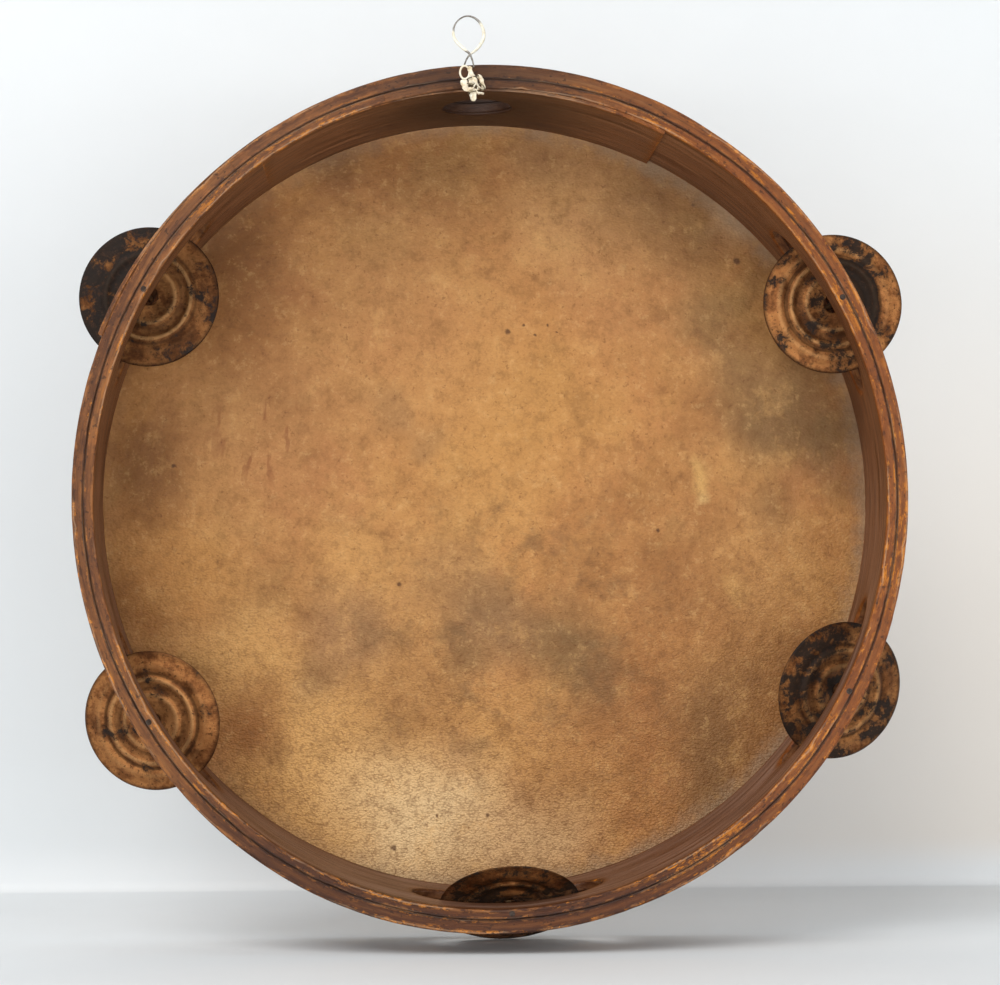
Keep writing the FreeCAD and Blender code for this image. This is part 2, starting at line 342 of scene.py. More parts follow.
def wood(name, shift, tone):
    """Old stained hardwood: grain along the strip, worn and chipped at its edges."""
    g = Graph(name, specular=0.27)
    strip = g.scaled(g.attribute("strip", "Vector"), (1, 1, 1), shift)
    edge = g.attribute("edge")
    across = g.warp(strip, 60, 0.0022)
    long_grain = g.grain(across, (22, 520, 520), 6.0, 0.62)
    fine_grain = g.grain(strip, (90, 2600, 2600), 3.0, 0.6)
    patches = g.grain(strip, (38, 90, 90), 5.0, 0.65)
    g.colour = g.ramp(g.step(long_grain, 0.28, 0.72), *toned(WOOD_TONES, tone))
    g.lay(g.step(fine_grain, 0.46, 0.66), 0.35, (62, 38, 26))
    g.lay(g.step(patches, 0.50, 0.70), 0.45, (66, 42, 32))
    g.lay(g.step(patches, 0.46, 0.28), 0.30, (138, 96, 68))

    # The right-hand side keeps more of its orange varnish, and the bottom is darkest.
    place = g.position()
    lean = g.vector_math("DOT_PRODUCT", place, (6.0, 0.0, -1.5))
    varnish = g.plus(g.step(lean, -0.55, 0.75), g.minus(patches, 0.5))
    rim = g.step(edge, 2.2, 0.3)
    warm = g.times(g.step(varnish, 0.1, 0.9), g.plus(rim, 0.12))
    g.lay(warm, 0.65, (132, 68, 22))
    g.lay(rim, 0.25, (122, 70, 32))
    height_z = g.part(place, "Z")
    low = g.plus(g.step(height_z, 0.03, -0.07), 0.35)
    depth = g.part(g.attribute("strip", "Vector"), "Z")
    inside = g.plus(g.step(depth, 0.0012, 0.0005), 0.15)
    # Greyish dust on the lower inside faces, partly a painted sheen of reflected light.
    dust_and_sheen = g.times(g.step(long_grain, 0.34, 0.68), g.step(edge, 1.0, 4.0))
    dust_and_sheen = g.times(g.times(dust_and_sheen, low), inside)
    g.lay(dust_and_sheen, 0.38, (152, 130, 120))
    mottle = g.grain(strip, (260, 480, 480), 6.0, 0.72, (2, 0, 4))
    pits = g.times(rim, g.step(mottle, 0.52, 0.64))
    g.lay(pits, 0.55, (54, 35, 27))
    rubbed = g.times(rim, g.step(mottle, 0.46, 0.36))
    g.lay(rubbed, 0.50, (148, 90, 46))
    base = g.times(g.step(height_z, -0.080, -0.118), g.plus(rim, 0.3))
    g.lay(base, 0.72, (66, 38, 24))
    # Painted shade round the thumb hole, for the hanger's shadow and the hole's dark inside.
    hole_shade_reach = g.distance(g.warp(place, 60, 0.012), THUMB_HOLE_SHADE)
    painted_hole_shade = g.step(hole_shade_reach, 0.048, 0.018)
    g.lay(painted_hole_shade, 0.72, (44, 27, 18))

    # Corners: chips of bare wood in clusters, bright flecks, grime and a pale line that is partly
    # worn wood and partly a painted highlight.
    worn = g.grain(strip, (190, 620, 620), 5.0, 0.7)
    close = g.step(edge, 0.95, 0.10)
    clusters = g.grain(strip, (26, 70, 70), 3.0, 0.6, (1, 6, 2))
    crowd = g.plus(g.step(clusters, 0.44, 0.62), g.times(varnish, 0.3))
    crowd = g.minus(crowd, painted_hole_shade)
    chipped = g.minus(g.step(worn, 0.50, 0.60), g.times(painted_hole_shade, 0.7))
    chipped = g.math("MAXIMUM", 0.0, g.times(close, chipped))
    g.lay(chipped, 0.60, (160, 102, 54))
    bright = g.grain(strip, (430, 900, 900), 5.0, 0.75, (3, 1, 2))
    speckle = g.plus(bright, g.times(crowd, 0.100))
    flecks = g.times(close, g.step(speckle, 0.61, 0.68))
    g.lay(flecks, 0.90, (202, 124, 40))
    streaks = g.grain(strip, (110, 420, 420), 5.0, 0.75, (8, 3, 5))
    streaks = g.plus(streaks, g.times(varnish, 0.06))
    gold = g.times(g.times(rim, crowd), g.step(streaks, 0.62, 0.68))
    gold = g.math("MAXIMUM", 0.0, gold)
    g.lay(gold, 0.80, (194, 116, 30))
    grime = g.times(close, g.step(worn, 0.45, 0.36))
    g.lay(grime, 0.60, (50, 32, 25))
    # The pale line along the corners: partly worn wood, partly a painted highlight.
    corner = g.times(g.step(edge, 0.22, 0.04), g.step(clusters, 0.46, 0.56))
    g.lay(corner, 0.35, (186, 150, 118))

    # Painted shade: the thumb hole's own wall is painted as dark as the wood round it.
    g.lay(g.step(hole_shade_reach, 0.024, 0.014), 0.60, (44, 27, 18))

    # The dark line where the plies meet.
    gap = g.math("ABSOLUTE", g.minus(depth, INNER_PLY * MM))
    g.lay(g.step(gap, 0.0007, 0.0003), 0.70, (38, 25, 19))

    grain_specks = g.grain(strip, (560, 800, 800), 2.0, 0.5, (5, 0, 0))
    g.lay(g.step(grain_specks, 0.64, 0.72), 0.6, (40, 26, 19))
    height = g.plus(g.times(fine_grain, 0.4), g.times(worn, 0.6))
    rough = g.plus(g.times(long_grain, 0.3), 0.34)
    return g.finish(rough, g.bump(height, 0.0005))


# Stains of the skin, and a few spots of painted light and painted shade among them: x and z of the
# middle, radius, colour and strength.
TAN, PALE = (206, 156, 94), (236, 202, 152)
BROWN, RUST, OLIVE, GREY = (150, 104, 62), (134, 82, 42), (112, 88, 58), (128, 98, 68)
SKIN_STAINS_AND_PAINTED_LIGHT = [
    # Painted light: the wide tan stain at (-30, -80) lightens the whole lower skin.
    (-30, -80, 75, TAN, 0.45), (60, -70, 60, (176, 122, 72), 0.45),
    (8, 30, 50, (196, 142, 80), 0.75), (-30, 62, 40, (182, 128, 80), 0.5),
    (-68, 22, 34, (180, 128, 80), 0.5), (49, 66, 26, (184, 128, 80), 0.5),
    (30, 90, 22, (190, 142, 92), 0.6), (-98, -20, 20, (190, 134, 74), 0.65),
    (-82, -48, 20, TAN, 0.60), (-60, -72, 24, TAN, 0.60), (-40, -90, 24, (216, 168, 108), 0.65),
    # The pale stain at (-17, -103) is partly the skin's own colour and partly painted light.
    (-17, -103, 28, PALE, 0.78), (16, -112, 22, (212, 172, 124), 0.7), (22, -90, 16, BROWN, 0.3),
    # Painted light: the pale spot at (78, 93) lightens the skin where the hoop's shadow falls.
    (60, 92, 20, OLIVE, 0.36), (78, 93, 11, (214, 172, 128), 0.55), (76, 60, 15, OLIVE, 0.45),
    (83, 42, 15, OLIVE, 0.50), (97, 22, 20, OLIVE, 0.75), (116, 14, 14, OLIVE, 0.75),
    (96, -6, 12, OLIVE, 0.45), (106, 44, 20, (140, 108, 70), 0.5), (50, 110, 18, OLIVE, 0.30),
    (26, 116, 16, GREY, 0.35), (90, -24, 20, (190, 140, 84), 0.5), (24, -44, 18, OLIVE, 0.80),
    (30, -60, 12, OLIVE, 0.55), (2, -38, 17, GREY, 0.70), (-12, -28, 16, GREY, 0.45),
    (44, -64, 22, (150, 96, 56), 0.6), (-6, -51, 8, OLIVE, 0.55),
    (-44, -43, 18, (142, 104, 74), 0.60), (-54, -58, 10, GREY, 0.45), (-22, -60, 20, BROWN, 0.45),
    (-22, 24, 8, GREY, 0.50), (-34, 32, 9, GREY, 0.35), (60, -40, 22, (158, 106, 62), 0.4),
    (74, -66, 22, (116, 84, 52), 0.75), (68, -86, 16, OLIVE, 0.55), (92, -50, 24, BROWN, 0.50),
    # Painted shade: the dark stains at (-49, 106) and (-84, 78) stand for the shade by the hoop's
    # upper left wall and the upper left jingles' shadow.
    (-49, 106, 18, (106, 72, 42), 0.65), (-84, 78, 20, (118, 76, 42), 0.7),
    # Painted shadow: the dark stain at (-106, 8) stands for the hoop's shadow along the left edge.
    (-78, 52, 22, (138, 88, 48), 0.50), (-106, 8, 16, (124, 82, 46), 0.75),
    (-114, 38, 12, RUST, 0.6), (-112, -34, 9, (150, 96, 48), 0.5), (-76, -70, 15, RUST, 0.80),
    (66, 7, 6.0, (224, 180, 108), 0.85), (69, 1, 4.0, (228, 188, 122), 0.7),
    (83, -30, 4.0, (214, 166, 100), 0.5),
]
# Small dark marks: x, z and radius.
SKIN_SPECKS = [
    (81, 78, 1.3), (7, 55, 0.9), (12, 57, 0.6), (16, 54, 0.6), (20, 57, 0.5), (23, 55, 0.4),
    (67, 96, 0.6), (55, -9, 0.8), (-28, -26, 0.9), (-100, 12, 0.8), (-30, -110, 1.0),
    (-16, -100, 0.5), (0, -100, 0.7),
]
# How far along Y the skin's noise is read, so that it never lies on the noise's own grid.
OFF_GRID = 0.2137


def on_hide(x, z):
    """A place on the skin, in the space its noise is read in."""
    return (x * MM, OFF_GRID, z * MM)


def hide():
    """Old animal skin: soft stains, some of them painted light and painted shade, veins of grime,
    pores and stretch creases.
    """
    g = Graph("skin_hide", specular=0.22)
    place = g.position()
    flat = g.scaled(place, (1, 0, 1), (0, OFF_GRID, 0))
    soft = g.warp(g.warp(flat, 14, 0.034), 55, 0.014)
    clouds = g.noise(flat, 18, 6.0, 0.65)
    hues = g.noise(g.scaled(flat, (1, 1, 1), (4, 0, 9)), 26, 5.0, 0.6)
    g.colour = g.ramp(g.step(clouds, 0.30, 0.70), *HIDE_TONES)
    g.lay(g.step(hues, 0.52, 0.66), 0.40, (176, 112, 70))
    g.lay(g.step(hues, 0.46, 0.34), 0.32, (158, 122, 74))
    for x, z, radius, tint, strength in SKIN_STAINS_AND_PAINTED_LIGHT:
        reach = g.distance(soft, on_hide(x, z))
        mask = g.step(reach, radius * 1.35 * MM, radius * 0.15 * MM)
        g.lay(mask, strength, tint)

    mottle = g.noise(flat, 80, 7.0, 0.74)
    g.lay(g.step(mottle, 0.50, 0.68), 0.42, (116, 76, 42))
    g.lay(g.step(mottle, 0.48, 0.32), 0.36, (212, 160, 98))
    fine = g.noise(g.scaled(flat, (1, 1, 1), (7, 0, 3)), 330, 6.0, 0.72)
    g.lay(g.step(fine, 0.50, 0.66), 0.28, (104, 66, 36))
    g.lay(g.step(fine, 0.46, 0.32), 0.26, (222, 176, 116))

    # Veins of grey grime over the lower middle and the upper right.
    grey = g.noise(g.warp(flat, 45, 0.010), 42, 6.0, 0.7)
    lower = g.step(g.distance(soft, on_hide(4, -36)), 0.085, 0.02)
    grime = g.times(g.step(grey, 0.50, 0.66), lower)
    g.lay(grime, 0.50, (98, 74, 50))
    upper = g.step(g.distance(soft, on_hide(85, 60)), 0.060, 0.01)
    veins = g.times(g.step(grey, 0.48, 0.64), upper)
    g.lay(veins, 0.20, (92, 72, 48))
    freckles = g.step(g.noise(flat, 700, 2.0, 0.6), 0.63, 0.74)
    g.lay(freckles, 0.45, (108, 64, 34))
    ragged = g.warp(flat, 420, 0.0016)
    for x, z, radius in SKIN_SPECKS:
        reach = g.distance(ragged, on_hide(x, z))
        mask = g.step(reach, radius * 1.3 * MM, radius * 0.4 * MM)
        g.lay(mask, 0.80, (74, 44, 28))

    # A grey band along the hoop, and dirt on the skirt folded down its side.
    rim = g.vector_math("LENGTH", g.scaled(place, (1, 0, 1)))
    ragged_rim = g.plus(rim, g.times(mottle, 0.014))
    band = g.step(ragged_rim, 0.1230, 0.1305)
    across = g.part(place, "X")
    band = g.times(band, g.plus(g.step(across, -0.11, 0.05), 0.12))
    g.lay(band, 0.50, (160, 138, 114))
    skirt = g.step(rim, 0.1265, 0.1280)
    worn = g.noise(g.scaled(place, (1, 1.6, 1)), 95, 6.0, 0.7)
    dirty = g.times(skirt, g.step(worn, 0.47, 0.62))
    g.lay(dirty, 0.55, (116, 82, 52))
    rubbed = g.times(skirt, g.step(worn, 0.44, 0.34))
    g.lay(rubbed, 0.35, (200, 170, 128))

    scratches = g.noise(g.scaled(g.warp(flat, 30, 0.02), (1, 1, 0.16)), 330, 2.0, 0.5)
    left = g.step(g.distance(flat, on_hide(-73, 23)), 0.024, 0.006)
    marks = g.times(g.step(scratches, 0.58, 0.66), left)
    g.lay(marks, 0.55, (124, 66, 38))

    # Pebbled grain, deepest at the bottom, and soft dents.
    pebbles = g.cells(g.warp(g.scaled(flat, (0.8, 1, 1.15)), 300, 0.0010), 1450)
    seams = g.step(pebbles, 0.42, 0.66)
    creases = g.noise(g.warp(flat, 120, 0.0015), 560, 4.0, 0.65)
    low = g.step(g.part(place, "Z"), 0.03, -0.10)
    depth = g.plus(g.times(low, 0.7), 0.38)
    lines = g.times(seams, g.times(depth, g.step(creases, 0.35, 0.6)))
    g.lay(lines, 0.42, (118, 80, 48))
    grain = g.minus(g.times(creases, 0.4), g.times(pebbles, 0.7))
    normal = g.bump(g.times(grain, depth), 0.00038)
    normal = g.bump(g.noise(flat, 55, 4.0, 0.6), 0.0014, normal)
    rough = g.plus(g.times(mottle, 0.3), 0.38)
    return g.finish(rough, normal)


def tarnished(name, shift, tone_share, dark_inside, outside_black_and_shade, well_black_and_shade):
    """Thin brass gone brown, black in patches and rubbed bright on its ridges, and darker outside
    the hoop, partly tarnish and partly painted shade.
    """
    g = Graph(name, metallic=0.75, specular=0.22)
    place = g.scaled(g.position(), (1, 1, 1), shift)
    crest = g.attribute("crest")
    tone = g.noise(place, 150, 7.0, 0.68)
    g.colour = g.ramp(g.step(tone, 0.30, 0.70), *toned(BRASS_TONES, tone_share))
    g.lay(g.step(crest, 0.1, 1.0), 0.32, (204, 158, 106))
    g.lay(g.step(crest, -0.1, -0.9), 0.68, (44, 29, 20))
    # Darker outside the hoop, most within the rings there: partly tarnish, partly painted shade
    # where the hoop shades the disc.
    beyond = g.vector_math("LENGTH", g.scaled(g.position(), (1, 0, 1)))
    outside = g.step(beyond, 0.1265, 0.1300)
    reach = g.attribute("reach")
    well = g.times(g.step(reach, 0.70, 0.62), well_black_and_shade)
    dark = g.times(outside, g.plus(well, outside_black_and_shade - dark_inside))
    blot = g.noise(g.warp(place, 130, 0.006), 120, 8.0, 0.72)
    deep = g.plus(blot, g.plus(dark, dark_inside))
    grit = g.noise(place, 620, 5.0, 0.72)
    black = g.step(g.plus(deep, g.times(grit, 0.22)), 0.690, 0.755)
    g.lay(g.step(deep, 0.50, 0.60), 0.45, (66, 43, 28))
    g.lay(black, 0.92, (26, 20, 15))
    thin = g.times(black, g.step(grit, 0.50, 0.34))
    g.lay(thin, 0.55, (74, 48, 31))
    spots = g.step(g.noise(place, 950, 3.0, 0.6), 0.58, 0.69)
    g.lay(spots, 0.65, (44, 30, 22))
    rim = g.step(reach, 0.935, 1.0)
    g.lay(rim, 0.6, (38, 28, 23))
    metal = g.minus(0.80, g.times(black, 0.7))
    rough = g.plus(g.times(tone, 0.25), g.times(black, 0.2))
    rough = g.plus(rough, 0.27)
    scratch = g.noise(g.scaled(place, (1, 1, 6)), 500, 3.0, 0.7)
    normal = g.bump(g.plus(deep, g.times(scratch, 0.3)), 0.0005)
    return g.finish(rough, normal, metal)


def dull_metal(name, metallic, grain, tones, least_rough, spread, pitting):
    """Plain old metal, mottled and pitted by noise of that grain."""
    g = Graph(name, metallic=metallic)
    tone = g.noise(g.position(), *grain)
    g.colour = g.ramp(g.step(tone, 0.3, 0.7), *tones)
    rough = g.plus(g.times(tone, spread), least_rough) if spread else least_rough
    return g.finish(rough, g.bump(tone, pitting))


def coated_wire():
    """Cream plastic coating, with bare grey wire at the loop's top left and foot."""
    g = Graph("hanger_wire_coat", specular=0.45)
    place = g.position()
    tone = g.noise(place, 900, 4.0, 0.6)
    cream = g.ramp(g.step(tone, 0.3, 0.7), (222, 208, 182), (240, 232, 212), (246, 240, 226))
    grey = g.ramp(g.step(tone, 0.3, 0.7), (92, 84, 74), (132, 126, 118), (160, 156, 150))
    ragged = g.warp(place, 400, 0.002)
    reach = g.distance(ragged, (-0.0090, -0.0492, 0.1475))
    lower = g.part(ragged, "Z")
    bare = g.math("MAXIMUM", g.step(reach, 0.0068, 0.0054), g.step(lower, 0.1358, 0.1348))
    g.colour = g.blend(bare, cream, grey)
    rough = g.minus(0.55, g.times(bare, 0.2))
    return g.finish(rough, g.bump(tone, 0.0001))


def knot_ribbon():
    """The coating's torn end: cream plastic ribbon, dirty in its folds."""
    g = Graph("hanger_ribbon_plastic", specular=0.45)
    place = g.position()
    tone = g.noise(place, 420, 5.0, 0.65)
    g.colour = g.ramp(g.step(tone, 0.3, 0.7), (204, 182, 146), (236, 222, 196), (245, 236, 216))
    dirt = g.step(g.noise(place, 900, 4.0, 0.7), 0.56, 0.70)
    g.lay(dirt, 0.5, (150, 122, 84))
    return g.finish(0.5, g.bump(tone, 0.0003))


# ---------------------------------------------------------------- camera, light, stage


def aim_camera():
    yaw, pitch, roll = (math.radians(a) for a in (CAMERA_YAW, CAMERA_PITCH, CAMERA_ROLL))
    forward = Vector(
        (math.sin(yaw) * math.cos(pitch), math.cos(yaw) * math.cos(pitch), math.sin(pitch))
    )
    level = forward.cross(Vector((0, 0, 1))).normalized()
    rise = level.cross(forward)
    right = level * math.cos(roll) + rise * math.sin(roll)
    up = right.cross(forward)
    turn = Matrix((right, up, -forward)).transposed().to_4x4()
    data = bpy.data.cameras.new("camera")
    data.lens = CAMERA_LENS
    data.sensor_width = 36.0
    data.clip_start = 0.05
    camera = bpy.data.objects.new("camera", data)
    camera.matrix_world = Matrix.Translation(CAMERA_PLACE) @ turn
    bpy.context.scene.collection.objects.link(camera)
    bpy.context.scene.camera = camera


def area_light(name, place, target, size, power, colour):
    data = bpy.data.lights.new(name, "AREA")
    data.shape = "RECTANGLE"
    data.size, data.size_y = size
    data.energy = power
    data.color = colour
    light = bpy.data.objects.new(name, data)
    light.location = place
    light.visible_camera = False
    light.rotation_euler = (Vector(target) - Vector(place)).to_track_quat("-Z", "Y").to_euler()
    bpy.context.scene.collection.objects.link(light)


def link_mesh(name, vertices, faces):
    mesh = bpy.data.meshes.new(name)
    mesh.from_pydata([tuple(v) for v in vertices], [], faces)
    mesh.polygons.foreach_set("use_smooth", [True] * len(mesh.polygons))
    made = bpy.data.objects.new(name, mesh)
    bpy.context.scene.collection.objects.link(made)
    return made


def ring_faces(count, size, closed):
    """Faces between rings of points in a row, whose last joins the first if closed."""
    faces = []
    for i in range(count if closed else count - 1):
        low, high = i * size, (i + 1) % count * size
        for k in range(size):
            after = (k + 1) % size
            faces.append((low + k, low + after, high + after, high + k))
    return faces


def stage_paper(floor_z):
    """Pale paper, seen only from its front; its lower wall has painted light, cooler and darker at
    the left and warmer at the right."""
    g = Graph("stage_paper", roughness=0.9, specular=0.1)
    place = g.position()
    g.colour = g.ramp(g.noise(place, 30, 3.0), (226, 229, 231), (230, 233, 235))
    height = g.part(place, "Z")
    above = g.step(height, floor_z + WALL_BEND, floor_z + 5 * WALL_BEND)
    # Painted light on the lower wall: a warm tint at the right and a cooler, darker tint at the
    # left.
    lower = g.times(g.step(height, 0.20, -0.06), above)
    right = g.step(g.part(place, "X"), -0.05, 0.24)
    g.lay(g.times(lower, right), 0.75, (226, 217, 206))
    left = g.times(lower, g.minus(1.0, right))
    g.lay(left, 0.40, (206, 212, 215))
    g.finish()
    clear = g.node("ShaderNodeBsdfTransparent", {})
    back = g.node("ShaderNodeNewGeometry", {}).outputs["Backfacing"]
    both = g.node("ShaderNodeMixShader", {0: back, 2: clear.outputs[0]})
    g.put(g.shader.outputs[0], both.inputs[1])
    g.put(both.outputs[0], g.tree.nodes["Material Output"].inputs["Surface"])
    return g.material


def make_stage():
    """A pale table that turns up into a wall, and more table behind the wall."""
    floor_z = CAD_BOX[0].z
    profile = [(-STAGE_REACH, floor_z)]
    for i in range(BEND_STEPS + 1):
        turn = math.radians(90 * i / BEND_STEPS)
        y = WALL_Y - WALL_BEND + WALL_BEND * math.sin(turn)
        profile.append((y, floor_z + WALL_BEND - WALL_BEND * math.cos(turn)))
    profile.append((WALL_Y, floor_z + STAGE_REACH))
    sides = (-STAGE_REACH, STAGE_REACH)
    vertices = [(x, y, z) for y, z in profile for x in sides]
    faces = [(2 * i, 2 * i + 1, 2 * i + 3, 2 * i + 2) for i in range(len(profile) - 1)]
    behind = len(vertices)
    vertices += [(x, y, floor_z) for y in (WALL_Y, STAGE_REACH) for x in sides]
    faces.append((behind, behind + 1, behind + 3, behind + 2))
    stage = link_mesh("stage", vertices, faces)
    stage.data.materials.append(stage_paper(floor_z))


def light_scene():
    scene = bpy.context.scene
    scene.view_settings.view_transform = "Standard"
    scene.world = bpy.data.worlds.new("world")
    scene.world.use_nodes = True
    sky = scene.world.node_tree.nodes["Background"]
    sky.inputs["Color"].default_value = WORLD_COLOUR
    sky.inputs["Strength"].default_value = WORLD_STRENGTH
    for light in LIGHTS:
        area_light(*light)


# ---------------------------------------------------------------- the hoop


def fade(start, angle, length):
    """1 at the start angle, falling smoothly to 0 at the end of the length."""
    share = (angle - start) / length
    return 0.0 if not 0 <= share < 1 else 0.5 + 0.5 * math.cos(math.pi * share)


def between(head, mean, oval, angle, y):
    share = (HEAD_Y - y) / (HEAD_Y - OPEN_Y)
    open_radius = mean - oval * math.cos(2 * math.radians(angle))
    return head + (open_radius - head) * share


def plain_inner(angle, y):
    return between(HEAD_INNER_RADIUS, OPEN_INNER_RADIUS, OPEN_INNER_OVAL, angle, y)


def glue_line(angle, y):
    return plain_inner(angle, y) + INNER_PLY


def plain_outer(angle, y):
    return between(HEAD_OUTER_RADIUS, OPEN_OUTER_RADIUS, OPEN_OUTER_OVAL, angle, y)


def inner_lap(angle, y):
    """The inner face of the strip's first end, which thins out from its cut."""
    return plain_inner(angle, y) - INNER_END_STEP * fade(INNER_END_ANGLE, angle, INNER_END_TAPER)


def outer_lap(angle, y):
    """The outer face of the strip's last end, which thins out from its cut."""
    return plain_outer(angle, y) + OUTER_END_STEP * fade(-OUTER_END_ANGLE, -angle, OUTER_END_TAPER)


def under_inner_lap(angle, y):
    return plain_inner(angle, y) + LAP_SINK


def under_outer_lap(angle, y):
    return plain_outer(angle, y) - LAP_SINK


def on_ring(angle, radius, y):
    turn = math.radians(angle)
    return Vector((radius * math.cos(turn), y, radius * math.sin(turn))) * MM


def slot_angles():
    """The angle of each pair's nail, read from the frame."""
    found = []
    for place in PLACES:
        low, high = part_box("pin_" + place)
        middle = (low + high) / 2
        found.append(math.degrees(math.atan2(middle.z, middle.x)) % 360)
    return found


def arc_length(angle):
    return math.radians(angle) * STRIP_RADIUS


class Cutout:
    """A round-ended hole through a strip laid flat, from its middle."""

    def __init__(self, s, y, half_run, radius):
        self.s, self.y, self.half_run, self.radius = s, y, half_run, radius

    def distance(self, s, y):
        """How far a point is outside the hole; below 0 inside it."""
        along = max(abs(s - self.s) - self.half_run, 0.0)
        return math.hypot(along, y - self.y) - self.radius

    def loop(self, offset, spacing=1.2):
        """Points round the hole, that far outside its edge."""
        radius = self.radius + offset
        turns = max(int(math.pi * self.radius / spacing), 8)
        runs = int(2 * self.half_run / spacing)
        points = []
        for side in (1, -1):
            middle = self.s + side * self.half_run
            start = -90 if side > 0 else 90
            for i in range(turns + 1):
                turn = math.radians(start + 180 * i / turns)
                points.append((middle + radius * math.cos(turn), self.y + radius * math.sin(turn)))
            for i in range(1, runs):
                along = side * (self.half_run - 2 * self.half_run * i / runs)
                points.append((self.s + along, self.y + side * radius))
        return points


class Strip:
    """A wood strip laid flat: arc length s along it, y across it, holes cut out."""

    OFFSETS = (0.0, 0.2, 0.5, 0.9, 1.5)
    GRID = 3.0

    def __init__(self, first_angle, last_angle):
        self.low, self.high = arc_length(first_angle), arc_length(last_angle)
        self.ring = last_angle - first_angle == 360
        cuts = [(angle, SLOT_Y, SLOT_HALF_RUN, SLOT_HALF_WIDTH) for angle in slot_angles()]
        cuts.append((THUMB_HOLE_ANGLE, THUMB_HOLE_Y, 0.0, THUMB_HOLE_RADIUS))
        self.holes = []
        for angle, y, half_run, radius in cuts:
            for turned in (angle - 360, angle, angle + 360):
                hole = Cutout(arc_length(turned), y, half_run, radius)
                reach = half_run + radius
                if self.low - reach < hole.s < self.high + reach:
                    self.holes.append(hole)

    def inside(self, s, y):
        return self.low < s < self.high and all(h.distance(s, y) > 0 for h in self.holes)

    def edge_distance(self, s, y, beyond_hole=0.0):
        """How far a point is inside the nearest edge, with the holes' edges counted as
        that much farther away. A ring's joined ends are no edge."""
        sides = [y - OPEN_Y, HEAD_Y - y]
        sides += [hole.distance(s, y) + beyond_hole for hole in self.holes]
        if not self.ring:
            sides += [s - self.low, self.high - s]
        return max(0.0, min(sides))

    def columns(self):
        """Arc lengths along the strip's long edges, closer at its ends."""
        runs = int((self.high - self.low) / 2.0)
        along = [self.low + (self.high - self.low) * i / runs for i in range(runs + 1)]
        along += [self.low + d for d in self.OFFSETS[1:]]
        return along + [self.high - d for d in self.OFFSETS[1:]]

    def triangles(self):
        """The strip's points and triangles, fine at the edges."""
        points, edges = [], []
        for hole in self.holes:
            for offset in self.OFFSETS:
                loop = hole.loop(offset)
                if offset == 0:
                    at = len(points)
                    edges += [(at + i, at + (i + 1) % len(loop)) for i in range(len(loop))]
                points += [p for p in loop if OPEN_Y < p[1] < HEAD_Y]
        for s in (self.low, self.high):
            edges.append((len(points), len(points) + 1))
            points += [(s, OPEN_Y), (s, HEAD_Y)]
        for offset in self.OFFSETS:
            points += [(s, OPEN_Y + offset) for s in self.columns()]
            points += [(s, HEAD_Y - offset) for s in self.columns()]
        rows = int((HEAD_Y - OPEN_Y) / self.GRID)
        for i in range(1, rows):
            y = OPEN_Y + (HEAD_Y - OPEN_Y) * i / rows
            points += [(self.low + d, y) for d in self.OFFSETS]
            points += [(self.high - d, y) for d in self.OFFSETS]
            shift = 0.5 * self.GRID * (i % 2) + self.GRID
            for j in range(int((self.high - self.low - shift) / self.GRID)):
                s = self.low + shift + j * self.GRID
                clear = min([hole.distance(s, y) for hole in self.holes] + [s - self.low])
                if min(clear, self.high - s) > self.OFFSETS[-1] + 0.8:
                    points.append((s, y))
        flat = [Vector(p) for p in points]
        vertices, _, faces, *_ = delaunay_2d_cdt(flat, edges, [], 0, 1e-4)
        kept = []
        for face in faces:
            s = sum(vertices[i].x for i in face) / 3
            y = sum(vertices[i].y for i in face) / 3
            if self.inside(s, y):
                kept.append(tuple(face))
        return [tuple(v) for v in vertices], kept


def rounded(distance, radius):
    """How far a rounded corner of that radius lies below the flat, near an edge."""
    if distance >= radius:
        return 0.0
    return radius - math.sqrt(radius * radius - (radius - distance) ** 2)


def wander(s, y, scale, seed):
    """Smooth noise over the strip, about -1 to 1, the same on both sides of its ends."""
    turn = s / STRIP_RADIUS
    ring = Vector((math.cos(turn), math.sin(turn), 0)) * STRIP_RADIUS
    return noise.noise(Vector((ring.x, ring.y, y)) * scale + Vector((seed, seed, seed))) * 1.6


